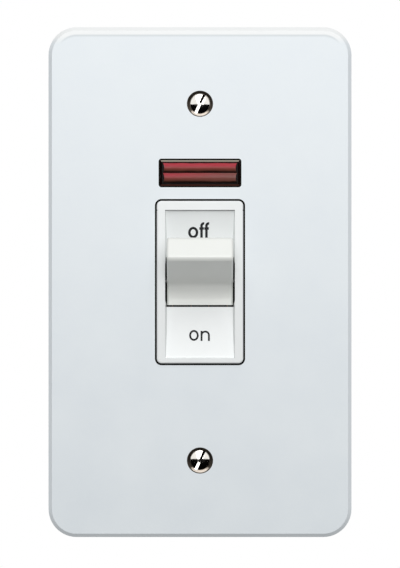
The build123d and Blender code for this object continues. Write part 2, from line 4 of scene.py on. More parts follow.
import bmesh
import bpy
import numpy as np
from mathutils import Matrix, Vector


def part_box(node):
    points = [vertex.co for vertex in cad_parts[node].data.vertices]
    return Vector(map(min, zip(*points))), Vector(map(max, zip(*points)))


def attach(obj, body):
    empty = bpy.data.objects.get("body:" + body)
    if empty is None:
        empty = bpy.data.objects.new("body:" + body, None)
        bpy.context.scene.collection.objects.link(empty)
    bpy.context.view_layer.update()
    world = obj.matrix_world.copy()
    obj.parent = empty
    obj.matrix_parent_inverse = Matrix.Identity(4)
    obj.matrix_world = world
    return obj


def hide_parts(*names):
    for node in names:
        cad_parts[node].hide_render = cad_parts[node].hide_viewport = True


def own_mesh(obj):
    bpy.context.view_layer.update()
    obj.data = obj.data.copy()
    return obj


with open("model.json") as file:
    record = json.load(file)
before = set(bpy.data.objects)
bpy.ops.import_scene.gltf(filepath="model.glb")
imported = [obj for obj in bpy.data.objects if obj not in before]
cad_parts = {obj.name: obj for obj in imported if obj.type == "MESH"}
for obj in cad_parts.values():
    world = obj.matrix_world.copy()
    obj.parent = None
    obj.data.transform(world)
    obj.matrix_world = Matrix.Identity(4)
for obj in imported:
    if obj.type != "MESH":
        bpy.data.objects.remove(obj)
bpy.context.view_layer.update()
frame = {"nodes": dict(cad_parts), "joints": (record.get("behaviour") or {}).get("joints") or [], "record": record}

# Front plate: a pan pressed from 1.2 mm steel sheet and stove enamelled white. The gloss coat has a faint
# orange peel. Along the top, a fine painted shade line runs a little way in from the edge, with a paler
# painted highlight between it and the edge. Slots and screw holes are cut through to dull bare steel,
# painted very dark as the shade in the gaps, with a pale painted highlight on the lower side of each hole.
mm = 0.001


def linear(hex_code):
    """sRGB hex to linear RGBA: c becomes ((c + 0.055) / 1.055) ** 2.4, or c / 12.92 where it is small."""
    srgb = np.array([int(hex_code[place:place + 2], 16) for place in (1, 3, 5)]) / 255
    return (*np.where(srgb > 0.04045, ((srgb + 0.055) / 1.055) ** 2.4, srgb / 12.92).tolist(), 1.0)


def add_node(tree, kind, inputs=None, **settings):
    """Adds a shader node, sets its properties and fills its inputs. An input takes a value, an output of
    another node, or another node, which stands for its first output in use."""
    new = tree.nodes.new("ShaderNode" + kind)
    for name, value in settings.items():
        setattr(new, name, value)
    for name, value in (inputs or {}).items():
        if isinstance(value, bpy.types.Node):
            value = next(output for output in value.outputs if output.enabled)
        if isinstance(value, bpy.types.NodeSocket):
            tree.links.new(value, new.inputs[name])
        else:
            new.inputs[name].default_value = value
    return new


def start_material(name):
    """An empty material, its node tree, and the object coordinates that its patterns are laid on."""
    material = bpy.data.materials.new(name)
    material.use_nodes = True
    tree = material.node_tree
    tree.nodes.clear()
    return material, tree, add_node(tree, "TexCoord").outputs["Object"]


def mottle(tree, place, size, dull, bright, detail):
    """A tone that wanders between two colours, with noise whose patches have a size."""
    patch = add_node(tree, "TexNoise", {"Vector": place, "Scale": 1 / size, "Detail": detail})
    return add_node(tree, "Mix", {0: patch, 6: linear(dull), 7: linear(bright)}, data_type="RGBA")


def corner_reach(tree, place, middle, half, corner):
    """How far a point lies, across the plate, outside the square core of a rounded rectangle: its offset
    from the middle is folded to one quarter, less the core's half sides, and its length is taken."""
    past_any_depth = 1.0
    core = (half[0] - corner, past_any_depth, half[1] - corner)
    offset = add_node(tree, "VectorMath", {0: place, 1: (0, 0, middle)}, operation="SUBTRACT")
    folded = add_node(tree, "VectorMath", {0: offset}, operation="ABSOLUTE")
    past = add_node(tree, "VectorMath", {0: folded, 1: core}, operation="SUBTRACT")
    outside = add_node(tree, "VectorMath", {0: past, 1: (0, 0, 0)}, operation="MAXIMUM")
    return add_node(tree, "VectorMath", {0: outside}, operation="LENGTH")


def coat(material, *names):
    """Gives CAD nodes a material."""
    for name in names:
        for place in frame["nodes"][name].material_slots:
            place.material = material


low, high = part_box("front_plate")
plate_face = low.y
plate_corner = 9.5 * mm
plate_outline = (0, (high.x, high.z), plate_corner)
enamel_cloud = 16 * mm
enamel_rough = (0.26, 0.36)
enamel_peel = 1.8 * mm
peel_height = 0.03 * mm
top_line_inset = 2.9 * mm
top_line_width = 0.55 * mm
top_line_shade = 0.4
top_line_fade = (80.5 * mm, 83.0 * mm)
enamel, tree, place = start_material("white_stove_enamel")
spot = add_node(tree, "SeparateXYZ", {0: place}).outputs
cloud = add_node(tree, "TexNoise", {"Vector": place, "Scale": 1 / enamel_cloud, "Detail": 3})
tone = add_node(tree, "Mix", {0: cloud, 6: linear("#DDE4E9"), 7: linear("#E6ECEF")}, data_type="RGBA")

# The painted shade line, and the painted highlight outside it, follow the plate's outline a little way in, along
# the top alone.
reach = corner_reach(tree, place, *plate_outline)
beyond = add_node(tree, "Math", {0: reach, 1: plate_corner - top_line_inset}, operation="SUBTRACT")
top = add_node(tree, "MapRange", {"Value": spot["Z"], "From Min": top_line_fade[0],
                                  "From Max": top_line_fade[1]})
top_highlight = add_node(tree, "MapRange", {"Value": beyond, "From Max": top_line_width})
top_highlight = add_node(tree, "Math", {0: top_highlight, 1: top}, operation="MULTIPLY")
tone = add_node(tree, "Mix", {0: top_highlight, 6: tone, 7: linear("#EEF0F0")}, data_type="RGBA")
aside = add_node(tree, "Math", {0: beyond}, operation="ABSOLUTE")
line = add_node(tree, "MapRange", {"Value": aside, "From Max": top_line_width, "To Min": top_line_shade,
                                   "To Max": 0})
line = add_node(tree, "Math", {0: line, 1: top}, operation="MULTIPLY")
tone = add_node(tree, "Mix", {0: line, 6: tone, 7: linear("#A9AEB1")}, data_type="RGBA")
peel = add_node(tree, "TexNoise", {"Vector": place, "Scale": 1 / enamel_peel, "Detail": 1})
bump = add_node(tree, "Bump", {"Height": peel, "Strength": 0.3, "Distance": peel_height})
gloss = add_node(tree, "MapRange", {"Value": cloud, "To Min": enamel_rough[0], "To Max": enamel_rough[1]})
coated = add_node(tree, "BsdfPrincipled", {"Base Color": tone, "Normal": bump, "Roughness": gloss})

# Where the plate is bare steel, its tone painted very dark as the shade in the gaps round the screws,
# bezel and lens: the countersunk holes, and the cut edges of the slots for bezel and lens, each given as
# its middle, half sides and corner radius.
cone_r = 4.42 * mm
fixing_z = frame["record"]["mounts"][0]["dims"]["spacing_y_mm"] / 2 * mm
bezel_slot = (0, (15.2 * mm, 28.05 * mm), 2.2 * mm)
lens_slot = (36.9 * mm, (13.95 * mm, 4.8 * mm), 0.95 * mm)
steel_skin = 0.05 * mm
height = add_node(tree, "Math", {0: spot["Z"]}, operation="ABSOLUTE")
rise = add_node(tree, "Math", {0: height, 1: fixing_z}, operation="SUBTRACT")
arm = add_node(tree, "CombineXYZ", {"X": spot["X"], "Z": rise})
radius = add_node(tree, "VectorMath", {0: arm}, operation="LENGTH")
sunk = add_node(tree, "Math", {0: radius, 1: spot["Y"]}, operation="ADD")
hole = add_node(tree, "Math", {0: sunk, 1: plate_face + cone_r}, operation="LESS_THAN")
bare = hole
for slot in (bezel_slot, lens_slot):
    reach = corner_reach(tree, place, *slot)
    cut = add_node(tree, "Math", {0: reach, 1: slot[-1] + steel_skin}, operation="LESS_THAN")
    bare = add_node(tree, "Math", {0: bare, 1: cut}, operation="MAXIMUM")

# A pale painted highlight, without the metal's shine, where the side of a hole faces up, a little way below its
# rim.
steel_grain = 0.4 * mm
highlight_slope = (0.42, 0.6)
highlight_start = 0.3 * mm
facing = add_node(tree, "SeparateXYZ", {0: add_node(tree, "NewGeometry").outputs["Normal"]}).outputs
upward = add_node(tree, "MapRange", {"Value": facing["Z"], "From Min": highlight_slope[0],
                                     "From Max": highlight_slope[1]})
inner = add_node(tree, "Math", {0: spot["Y"], 1: plate_face + highlight_start}, operation="GREATER_THAN")
painted_light_share = add_node(tree, "Math", {0: upward, 1: hole}, operation="MULTIPLY")
painted_light_share = add_node(tree, "Math", {0: painted_light_share, 1: inner}, operation="MULTIPLY")
# The bare steel's very dark tone is painted shade.
shaded_steel = mottle(tree, place, steel_grain, "#2E2A26", "#4A443D", detail=3)
tone = add_node(tree, "Mix", {0: painted_light_share, 6: shaded_steel, 7: linear("#E3D8CC")}, data_type="RGBA")
shiny = add_node(tree, "Math", {0: 1, 1: painted_light_share}, operation="SUBTRACT")
steel = add_node(tree, "BsdfPrincipled", {"Base Color": tone, "Metallic": shiny, "Roughness": 0.4})
shader = add_node(tree, "MixShader", {0: bare, 1: coated, 2: steel})
add_node(tree, "OutputMaterial", {"Surface": shader})
coat(enamel, "front_plate")

# Fixing screws: two M3.5 raised countersunk screws, slotted, turned from steel and nickel plated.
# They pass through the plate's dimples into the lugs of the box in the wall. A round saw cut each
# slot, so its floor is hollow along its length, and its floor is darkened as painted shade.


def make_piece(name, sheets, material, body, slot, *replaced):
    """Joins grids of points, each of shape (rows, columns, 3), into one mesh with its seams closed.
    A fourth column is the points' painted shade. The piece rides on a body, and stands for the CAD nodes that
    are named last."""
    seam = 0.0005 * mm
    sharp_edge = radians(35)
    points, faces, start = [], [], 0
    for sheet in sheets:
        rows, columns = sheet.shape[:2]
        index = start + np.arange(rows * columns).reshape(rows, columns)
        quads = np.stack([index[:-1, :-1], index[:-1, 1:], index[1:, 1:], index[1:, :-1]], axis=-1)
        points.append(sheet.reshape(rows * columns, -1))
        faces.append(quads.reshape(-1, 4))
        start += rows * columns
    points = np.concatenate(points)
    mesh = bpy.data.meshes.new(name)
    mesh.from_pydata(points[:, :3].tolist(), [], np.concatenate(faces).tolist())
    if points.shape[1] > 3:
        mesh.attributes.new("slot_shade", "FLOAT", "POINT").data.foreach_set("value", points[:, 3])
    work = bmesh.new()
    work.from_mesh(mesh)
    bmesh.ops.remove_doubles(work, verts=work.verts, dist=seam)
    bmesh.ops.dissolve_degenerate(work, edges=work.edges, dist=seam)
    bmesh.ops.recalc_face_normals(work, faces=work.faces)
    work.to_mesh(mesh)
    work.free()
    mesh.shade_smooth()
    mesh.set_sharp_from_angle(angle=sharp_edge)
    piece = bpy.data.objects.new(name, mesh)
    bpy.context.scene.collection.objects.link(piece)
    mesh.materials.append(material)
    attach(piece, body)
    if replaced:
        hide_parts(*replaced)
    return piece


def slotted_screw(crown, way, head, slot, lean, rings, thread):
    """Head: a spherical cap of (radius, height) in strips along the slot. Slot: (half width, depth, saw
    radius, painted shade), a floor at the depth less along squared over twice the saw radius, with the
    painted shade on it alone, and turned by lean degrees. Side: rings of (radius, depth) ruled from the head's
    outline.
    Thread: (core radius, radius, pitch, end depth), its radius a triangle wave of depth less turn.
    Depths run from the crown, towards +Y where way is 1."""
    strip_count, strip_points, thread_points = 10, 17, 6
    head_r, dome = head
    slot_half, slot_depth, saw_r, slot_shade = slot
    sphere = (head_r ** 2 + dome ** 2) / 2 / dome
    strips = slot_half + (head_r - slot_half) * np.sin(np.linspace(0, pi / 2, strip_count))
    across = np.concatenate([-strips[::-1], [-slot_half, slot_half], strips])[:, None]
    inside = np.concatenate([0 * strips, [1, 1], 0 * strips])[:, None]
    along = np.sqrt(np.maximum(head_r ** 2 - across ** 2, 0)) * np.linspace(-1, 1, strip_points)
    floor = inside * (slot_depth - along ** 2 / 2 / saw_r)
    depth = np.maximum(sphere - np.sqrt(sphere ** 2 - across ** 2 - along ** 2), floor)
    cap = np.stack([across + 0 * along, along, depth, slot_shade * inside + 0 * along], axis=-1)
    outline = np.concatenate([cap[:, -1], cap[::-1, 0]])
    outline = np.concatenate([outline, outline[:1]])
    turn = np.arctan2(outline[:, 1], outline[:, 0])
    circle = np.stack([np.cos(turn), np.sin(turn), 0 * turn, 0 * turn], axis=-1)
    level = np.array([0, 0, 1, 0])
    loops = [outline] + [radius * circle + deep * level for radius, deep in rings]
    core, crest, pitch, end = thread
    deep = np.arange(rings[-1][1], end, pitch / thread_points)[:, None]
    wave = np.abs(2 * np.mod(deep / pitch - turn / (2 * pi), 1) - 1)
    fade = np.clip(np.minimum(deep - deep[0], end - deep) / pitch, 0, 1)
    radius = core + (crest - core) * wave * fade
    loops += list(radius[:, :, None] * circle + deep[:, :, None] * level)
    loops += [core * circle + end * level, end * level + 0 * circle]
    c, s = cos(radians(lean)), sin(radians(lean))
    x, y, z = crown
    placed = []
    for sheet in (cap, np.stack(loops)):
        u, v, d, dirt = np.moveaxis(sheet, -1, 0)
        placed.append(np.stack([x + u * c + v * s, y + way * d, z - u * s + v * c, dirt], axis=-1))
    return placed


def stain(tree, shader, share, colour):
    """Lays a colour over a shader's base colour, by a share."""
    base = shader.inputs["Base Color"]
    mixed = add_node(tree, "Mix", {0: share, 6: base.links[0].from_socket, 7: colour}, data_type="RGBA")
    tree.links.new(mixed.outputs[2], base)


def metal(name, dull, bright, grain, run, rough, marks):
    """Metal whose tone and gloss change along tool marks: noise of a grain size, drawn out run times
    along each axis, with a small bump for the marks themselves. It is darkened by painted shade where a
    piece's points carry it. Gives the material, and for a stain its tree, coordinates and shader."""
    rough_spread = 0.3
    material, tree, place = start_material(name)
    scale = [1 / (grain * stretch) for stretch in run]
    drawn = add_node(tree, "Mapping", {"Vector": place, "Scale": scale})
    noise = add_node(tree, "TexNoise", {"Vector": drawn, "Scale": 1, "Detail": 4})
    tone = add_node(tree, "Mix", {0: noise, 6: linear(dull), 7: linear(bright)}, data_type="RGBA")
    gloss = add_node(tree, "MapRange", {"Value": noise, "To Min": rough * (1 + rough_spread),
                                        "To Max": rough * (1 - rough_spread)})
    bump = add_node(tree, "Bump", {"Height": noise, "Strength": 0.4, "Distance": marks})
    shader = add_node(tree, "BsdfPrincipled", {"Base Color": tone, "Metallic": 1, "Roughness": gloss,
                                               "Normal": bump})
    # Painted shade, dark, where a piece's points carry it: the floors of the screws' slots.
    slot_shade = add_node(tree, "Attribute", attribute_name="slot_shade")
    stain(tree, shader, slot_shade.outputs["Fac"], linear("#1A1510"))
    add_node(tree, "OutputMaterial", {"Surface": shader})
    return material, tree, place, shader


nickel = metal("bright_nickel_plate", dull="#E6E2DA", bright="#FAF8F3",
               grain=0.8 * mm, run=(1, 1, 1), rough=0.1, marks=0.003 * mm)[0]
low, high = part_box("fixing_screws")
fixing_head = ((high.x - low.x) / 2, 0.95 * mm)
fixing_slot = (0.44 * mm, 1.55 * mm, 8 * mm, 0.5)
fixing_lean = 25
neck_r = 1.5 * mm
neck_start = 2.9 * mm
neck_end = 5.9 * mm
fixing_thread = (neck_r, 1.75 * mm, 0.6 * mm, high.y - low.y)
fixing_sheets = []
for z in (-fixing_z, fixing_z):
    fixing_sheets += slotted_screw((0, low.y, z), 1, fixing_head, fixing_slot, fixing_lean,
                                   [(neck_r, neck_start), (neck_r, neck_end)], fixing_thread)
make_piece("fixing_screws_turned", fixing_sheets, nickel, "housing", "nickel_plate", "fixing_screws")

# Gasket: a sheet of black vulcanised fibre behind the plate, pierced for the bezel and the lens.
# It insulates the steel. Its near-black colour is painted shade: it shows as the black line in the slots round
# both of them.
fibre_mat = 0.4 * mm
gasket_shade, tree, place = start_material("black_fibre_painted_shade")
tone = mottle(tree, place, fibre_mat, "#060606", "#100F0F", detail=4)
shader = add_node(tree, "BsdfPrincipled", {"Base Color": tone, "Roughness": 0.7,
                                           "Specular IOR Level": 0.1})
add_node(tree, "OutputMaterial", {"Surface": shader})
coat(gasket_shade, "gasket")

# Bezel and dolly: white urea mouldings. The bezel stands through the plate with two dished panels,
# and the dolly rocks between them. Pressed in polished moulds, so they are glossy and very even. A thin
# dark line of painted shade lies in the corner above the upper panel, and the dolly's trunnions are
# painted dark as the shade in the deep gaps beside the dolly.
urea_flow = 7 * mm
urea_rough = (0.2, 0.28)


def white_urea(name, dull, bright):
    """White urea with slow changes of tone and gloss from the flow in the mould: the material, and for a
    stain its tree, separate coordinates and shader."""
    material, tree, place = start_material(name)
    flow = add_node(tree, "TexNoise", {"Vector": place, "Scale": 1 / urea_flow, "Detail": 2})
    tone = add_node(tree, "Mix", {0: flow, 6: linear(dull), 7: linear(bright)}, data_type="RGBA")
    gloss = add_node(tree, "MapRange", {"Value": flow, "To Min": urea_rough[0], "To Max": urea_rough[1]})
    shader = add_node(tree, "BsdfPrincipled", {"Base Color": tone, "Roughness": gloss})
    add_node(tree, "OutputMaterial", {"Surface": shader})
    return material, tree, add_node(tree, "SeparateXYZ", {0: place}).outputs, shader


bezel_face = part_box("bezel")[0].y
corner_shade_z = 24.3 * mm
corner_shade_half = 0.2 * mm
corner_shade_depth = 0.1 * mm
corner_shade_fade = (1.0, 0.4)
bezel_urea, tree, spot, shader = white_urea("white_urea_moulding", "#E6E9E9", "#EBEEEE")
# A thin dark line of painted shade along the top corner of the upper panel's hollow, below the face.
rise = add_node(tree, "Math", {0: spot["Z"], 1: corner_shade_z}, operation="SUBTRACT")
rise = add_node(tree, "Math", {0: rise}, operation="ABSOLUTE")
shade = add_node(tree, "MapRange", {"Value": rise, "From Max": corner_shade_half, "To Min": corner_shade_fade[0],
                                    "To Max": corner_shade_fade[1]})
near = add_node(tree, "Math", {0: rise, 1: corner_shade_half}, operation="LESS_THAN")
sunk = add_node(tree, "Math", {0: spot["Y"], 1: bezel_face + corner_shade_depth}, operation="GREATER_THAN")
painted_light_share = add_node(tree, "Math", {0: near, 1: sunk}, operation="MULTIPLY")
painted_light_share = add_node(tree, "Math", {0: painted_light_share, 1: shade}, operation="MULTIPLY")
stain(tree, shader, painted_light_share, linear("#2C2C2B"))
coat(bezel_urea, "bezel")

lever_half = 11.1 * mm
trunnion_shade_skin = 0.02 * mm
dolly_urea, tree, spot, shader = white_urea("white_urea_with_shaded_trunnions", "#E5E7E3", "#E9EBE7")
# The trunnions, outside the lever's sides, are painted near black as the shade in the deep gaps beside the dolly.
aside = add_node(tree, "Math", {0: spot["X"]}, operation="ABSOLUTE")
trunnion_shade = add_node(tree, "Math", {0: aside, 1: lever_half + trunnion_shade_skin}, operation="GREATER_THAN")
stain(tree, shader, trunnion_shade, linear("#141312"))
coat(dolly_urea, "dolly")

# Words off and on: dark ink, pad printed on the bezel's two hollow panels.
# A printed stroke is flat and even, and stands a few hundredths of a millimetre proud.
ink_speck = 0.3 * mm
ink_height = 0.03 * mm
ink, tree, place = start_material("pad_printing_ink")
tone = mottle(tree, place, ink_speck, "#1B1C1E", "#292A2C", detail=2)
shader = add_node(tree, "BsdfPrincipled", {"Base Color": tone, "Roughness": 0.6,
                                           "Specular IOR Level": 0.15})
add_node(tree, "OutputMaterial", {"Surface": shader})

opening_half = 8.4 * mm
panel_half = 25.1 * mm
panel_drop = 0.7 * mm
panel_sag = 0.35 * mm
panel_lip = bezel_face + 2.4 * mm
panel_step = bezel_face + 0.9 * mm


def panel_y(z):
    """Level of the panels: a ramp from the lip at the opening to the step at the end, which sags by
    four times the sag times the share of the way up and the share of the way left."""
    end = panel_half - panel_drop * np.sign(z)
    share = (np.abs(z) - opening_half) / (end - opening_half)
    return panel_lip + share * (panel_step - panel_lip) + 4 * panel_sag * share * (1 - share)


def printed_stroke(path, stroke, closed=False):
    """A flat bar of ink, stroke wide: a low box section carried along a path of (x, z) points."""
    ahead = np.roll(path, -1, axis=0) - path
    behind = path - np.roll(path, 1, axis=0)
    if not closed:
        ahead[-1], behind[0] = behind[-1], ahead[0]
    ahead = ahead / np.linalg.norm(ahead, axis=1)[:, None]
    behind = behind / np.linalg.norm(behind, axis=1)[:, None]
    along = (ahead + behind) / np.linalg.norm(ahead + behind, axis=1)[:, None]
    across = np.stack([along[:, 1], -along[:, 0]], axis=-1) * stroke / 2
    bars = []
    for side, lift in ((-1, 0), (-1, 1), (1, 1), (1, 0), (-1, 0)):
        flat = path + side * across
        bars.append(np.stack([flat[:, 0], panel_y(flat[:, 1]) - lift * ink_height, flat[:, 1]], axis=-1))
    grid = np.stack(bars, axis=1)
    if closed:
        return np.concatenate([grid, grid[:1]])
    ends = [0 * grid[:1] + grid[:1].mean(axis=1, keepdims=True),
            0 * grid[-1:] + grid[-1:].mean(axis=1, keepdims=True)]
    return np.concatenate([ends[0], grid, ends[1]])


def bow(x, z, wide, tall, start, end, points):
    """Points on an ellipse about (x, z), between two angles."""
    turn = np.linspace(start, end, points)
    return np.stack([x + wide * np.cos(turn), z + tall * np.sin(turn)], axis=-1)


o_wide = 1.29 * mm
o_tall = 1.51 * mm
o_middle = 1.87 * mm
hook_r = 0.8 * mm
hook_height = 4.15 * mm
hook_end = 0.45 * pi
bar_height = 3.25 * mm
bar_left = 0.72 * mm
letter_height = 3.4 * mm
arch_wide = 1.25 * mm
arch_tall = 1.2 * mm
arch_height = 1.95 * mm


def letter_o(x, base, stroke):
    """An upright ellipse."""
    ring = bow(x, base + o_middle, o_wide, o_tall, 0, 2 * pi, points=41)
    return [printed_stroke(ring[:-1], stroke, closed=True)]


def letter_f(x, base, stroke):
    """A stem that bends over in a quarter circle at its top, and a short bar across it."""
    hook = bow(x + hook_r, base + hook_height, hook_r, hook_r, pi, hook_end, points=12)
    stem = np.concatenate([[(x, base)], hook])
    bar = np.array([(x - bar_left, base + bar_height), (x + hook_r, base + bar_height)])
    return [printed_stroke(stem, stroke), printed_stroke(bar, stroke)]


def letter_n(x, base, stroke):
    """A stem, and beside it a half ellipse that runs down into a second stem."""
    arch = bow(x + arch_wide, base + arch_height, arch_wide, arch_tall, pi, 0, points=20)
    right = np.concatenate([arch, [(x + 2 * arch_wide, base)]])
    left = np.array([(x, base), (x, base + letter_height)])
    return [printed_stroke(left, stroke), printed_stroke(right, stroke)]


off_base = 14.9 * mm
off_stroke = 0.84 * mm
off_o_x = -2.3 * mm
off_stems = (0.52 * mm, 2.18 * mm)
off_word = letter_o(off_o_x, off_base, off_stroke)
for stem_x in off_stems:
    off_word += letter_f(stem_x, off_base, off_stroke)
make_piece("word_off", off_word, ink, "housing", "white_moulding")

on_base = -19.9 * mm
on_stroke = 0.64 * mm
on_o_x = -2.05 * mm
on_stem = 0.52 * mm
on_word = letter_o(on_o_x, on_base, on_stroke) + letter_n(on_stem, on_base, on_stroke)
make_piece("word_on", on_word, ink, "housing", "white_moulding")

# Indicator lens: red acrylic moulding with two flutes, clamped behind the plate by the lamp holder.
# Its colour is painted by facing: painted highlight, bright red, where a flute faces up, and painted
# shade, brown and then black, where it faces down. Round its edge are a pale painted highlight line
# along the top, a brown line along the bottom, and painted shade near black on the side bevels.
lens_swirl = 6 * mm
lens_drift = 0.1
flute_slope = 0.7
lens_painted_light = [(0.14, "#130807"), (0.22, "#20120F"), (0.34, "#63382F"), (0.5, "#8E423E"), (0.63, "#A62735"),
             (0.8, "#B2303D"), (0.88, "#1C0C0C")]
lens_red, tree, place = start_material("red_acrylic")
facing = add_node(tree, "SeparateXYZ", {0: add_node(tree, "NewGeometry").outputs["Normal"]}).outputs
swirl = add_node(tree, "TexNoise", {"Vector": place, "Scale": 1 / lens_swirl, "Detail": 2})
drift = add_node(tree, "MapRange", {"Value": swirl, "To Min": -lens_drift, "To Max": lens_drift})
lit = add_node(tree, "Math", {0: facing["Z"], 1: drift}, operation="ADD")
slope = add_node(tree, "MapRange", {"Value": lit, "From Min": -flute_slope, "From Max": flute_slope})
tone = add_node(tree, "ValToRGB", {0: slope})
for stop, _ in lens_painted_light[1:-1]:
    tone.color_ramp.elements.new(stop)
for mark, (stop, shade) in zip(tone.color_ramp.elements, lens_painted_light):
    mark.position = stop
    mark.color = linear(shade)

# The lower flute goes browner towards the right.
low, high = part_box("neon_lens")
lens_mid = (low.z + high.z) / 2
lens_fade = 10 * mm
brown_share = (0.15, 0.85)
brown_slope = (-0.4, -0.2)
spot = add_node(tree, "SeparateXYZ", {0: place}).outputs
height = add_node(tree, "Math", {0: spot["Z"], 1: lens_mid}, operation="SUBTRACT")
lower = add_node(tree, "Math", {0: height, 1: 0}, operation="LESS_THAN")
brown = add_node(tree, "MapRange", {"Value": spot["X"], "From Min": -lens_fade, "From Max": lens_fade,
                                    "To Min": brown_share[0], "To Max": brown_share[1]})
above = add_node(tree, "MapRange", {"Value": lit, "From Min": brown_slope[0], "From Max": brown_slope[1]})
brown = add_node(tree, "Math", {0: brown, 1: above}, operation="MULTIPLY")
brown = add_node(tree, "Math", {0: lower, 1: brown}, operation="MULTIPLY")
tone = add_node(tree, "Mix", {0: brown, 6: tone, 7: linear("#744A42")}, data_type="RGBA")

lens_half = 4.35 * mm
lens_rim = 0.5 * mm
bevel_slope = (0.3, 0.6)
# Painted lines along the top and bottom rims, and painted shade on the side bevels.
reach = add_node(tree, "Math", {0: height}, operation="ABSOLUTE")
rim = add_node(tree, "Math", {0: reach, 1: lens_half - lens_rim}, operation="GREATER_THAN")
line = add_node(tree, "Mix", {0: lower, 6: linear("#B5AB9C"), 7: linear("#5C3A33")}, data_type="RGBA")
tone = add_node(tree, "Mix", {0: rim, 6: tone, 7: line}, data_type="RGBA")
side = add_node(tree, "Math", {0: facing["X"]}, operation="ABSOLUTE")
edge = add_node(tree, "MapRange", {"Value": side, "From Min": bevel_slope[0], "From Max": bevel_slope[1]})
tone = add_node(tree, "Mix", {0: edge, 6: tone, 7: linear("#150A09")}, data_type="RGBA")
shader = add_node(tree, "BsdfPrincipled", {"Base Color": tone, "Roughness": 0.12, "IOR": 1.49,
                                           "Specular IOR Level": 0.08, "Transmission Weight": 0.1})
add_node(tree, "OutputMaterial", {"Surface": shader})
coat(lens_red, "neon_lens")

# Base and lamp holder: black phenolic mouldings behind the plate, filled with wood flour, which
# leaves a satin skin with slightly brown clouds. The base carries every part of the two poles.
phenolic_cloud = 5 * mm
phenolic_grain = 0.5 * mm
grain_height = 0.02 * mm
phenolic, tree, place = start_material("black_phenolic_moulding")
tone = mottle(tree, place, phenolic_cloud, "#1B1816", "#2B2522", detail=4)
grain = add_node(tree, "TexNoise", {"Vector": place, "Scale": 1 / phenolic_grain, "Detail": 1})
bump = add_node(tree, "Bump", {"Height": grain, "Strength": 0.3, "Distance": grain_height})
shader = add_node(tree, "BsdfPrincipled", {"Base Color": tone, "Roughness": 0.4, "Normal": bump})
add_node(tree, "OutputMaterial", {"Surface": shader})
coat(phenolic, "base", "neon_holder")

# Rear cover: a plate moulded from brown paper laminate, which holds the contact strips in the base.
# The paper shows as fine fibres under a dull varnish.
paper_fibre = 0.3 * mm
fibre_run = (1, 1, 8)
fibre_height = 0.02 * mm
laminate, tree, place = start_material("brown_paper_laminate")
scale = [1 / (paper_fibre * stretch) for stretch in fibre_run]
drawn = add_node(tree, "Mapping", {"Vector": place, "Scale": scale})
matting = add_node(tree, "TexNoise", {"Vector": drawn, "Scale": 1, "Detail": 5})
tone = add_node(tree, "Mix", {0: matting, 6: linear("#6A4527"), 7: linear("#8A6138")}, data_type="RGBA")
bump = add_node(tree, "Bump", {"Height": matting, "Strength": 0.4, "Distance": fibre_height})
shader = add_node(tree, "BsdfPrincipled", {"Base Color": tone, "Roughness": 0.5, "Normal": bump})
add_node(tree, "OutputMaterial", {"Surface": shader})
coat(laminate, "rear_cover")

# Terminals: blocks sawn from drawn brass bar, bored for the cables, with contact strips pressed from
# brass sheet. The earth block is fixed to the back of the plate. Draw marks run along the bar. In the
# chambers the strips are painted near black and dull, as soot from the sparks of the contacts and as
# painted shade deep behind the dolly's gaps.
drawn_brass = {"dull": "#B08A3E", "bright": "#C9A557", "grain": 0.5 * mm, "run": (1, 1, 12),
               "rough": 0.3, "marks": 0.006 * mm}
coat(metal("drawn_brass", **drawn_brass)[0], "earth_terminal")

soot_and_shade_patch = 2.5 * mm
soot_and_shade_fade = (21 * mm, 25 * mm)
soot_and_shade_rough = (0.8, 0.3)
brass_soot_and_shade, tree, place, shader = metal("drawn_brass_soot_and_shade_inside", **drawn_brass)
spot = add_node(tree, "SeparateXYZ", {0: place}).outputs
# Near black and dull in the chambers: soot, and painted shade deep behind the dolly's gaps.
height = add_node(tree, "Math", {0: spot["Z"]}, operation="ABSOLUTE")
clean = add_node(tree, "MapRange", {"Value": height, "From Min": soot_and_shade_fade[0], "From Max": soot_and_shade_fade[1]})
soot_and_shade = add_node(tree, "Math", {0: 1, 1: clean}, operation="SUBTRACT")
stain(tree, shader, soot_and_shade, mottle(tree, place, soot_and_shade_patch, "#0D0B09", "#241A12", detail=3))
gloss = add_node(tree, "MapRange", {"Value": clean, "To Min": soot_and_shade_rough[0], "To Max": soot_and_shade_rough[1]})
tree.links.new(clean.outputs["Result"], shader.inputs["Metallic"])
tree.links.new(gloss.outputs["Result"], shader.inputs["Roughness"])
coat(brass_soot_and_shade, "load_terminal_left", "load_terminal_right", "supply_terminal_left", "supply_terminal_right")

# Contact arms and contacts: copper see-saws that rock on the supply strips, each with a cupped track
# for its plunger and a riveted silver button, which meets the button on the load strip. The copper has
# tarnished brown, with rolling marks along it, and the silver is pale and clean.
copper = metal("tarnished_copper", dull="#5E3625", bright="#84513A",
               grain=0.6 * mm, run=(1, 1, 10), rough=0.4, marks=0.006 * mm)[0]
silver = metal("contact_silver", dull="#C9C8C2", bright="#E4E3DE",
               grain=0.4 * mm, run=(1, 1, 1), rough=0.25, marks=0.004 * mm)[0]
coat(copper, "contact_arm_left", "contact_arm_right")
coat(silver, "moving_contact_left", "moving_contact_right", "fixed_contact_left", "fixed_contact_right")

# Plungers: natural nylon, moulded with a round tip that runs in the track of its contact arm.
# Slightly milky, so light goes a little way in.
nylon_haze = 2 * mm
nylon_depth = 1 * mm
nylon, tree, place = start_material("natural_nylon")
tone = mottle(tree, place, nylon_haze, "#DAD5C2", "#E6E2D2", detail=2)
shader = add_node(tree, "BsdfPrincipled", {"Base Color": tone, "Roughness": 0.4, "Subsurface Weight": 0.2,
                                           "Subsurface Scale": nylon_depth})
add_node(tree, "OutputMaterial", {"Surface": shader})
coat(nylon, "plunger_left", "plunger_right")

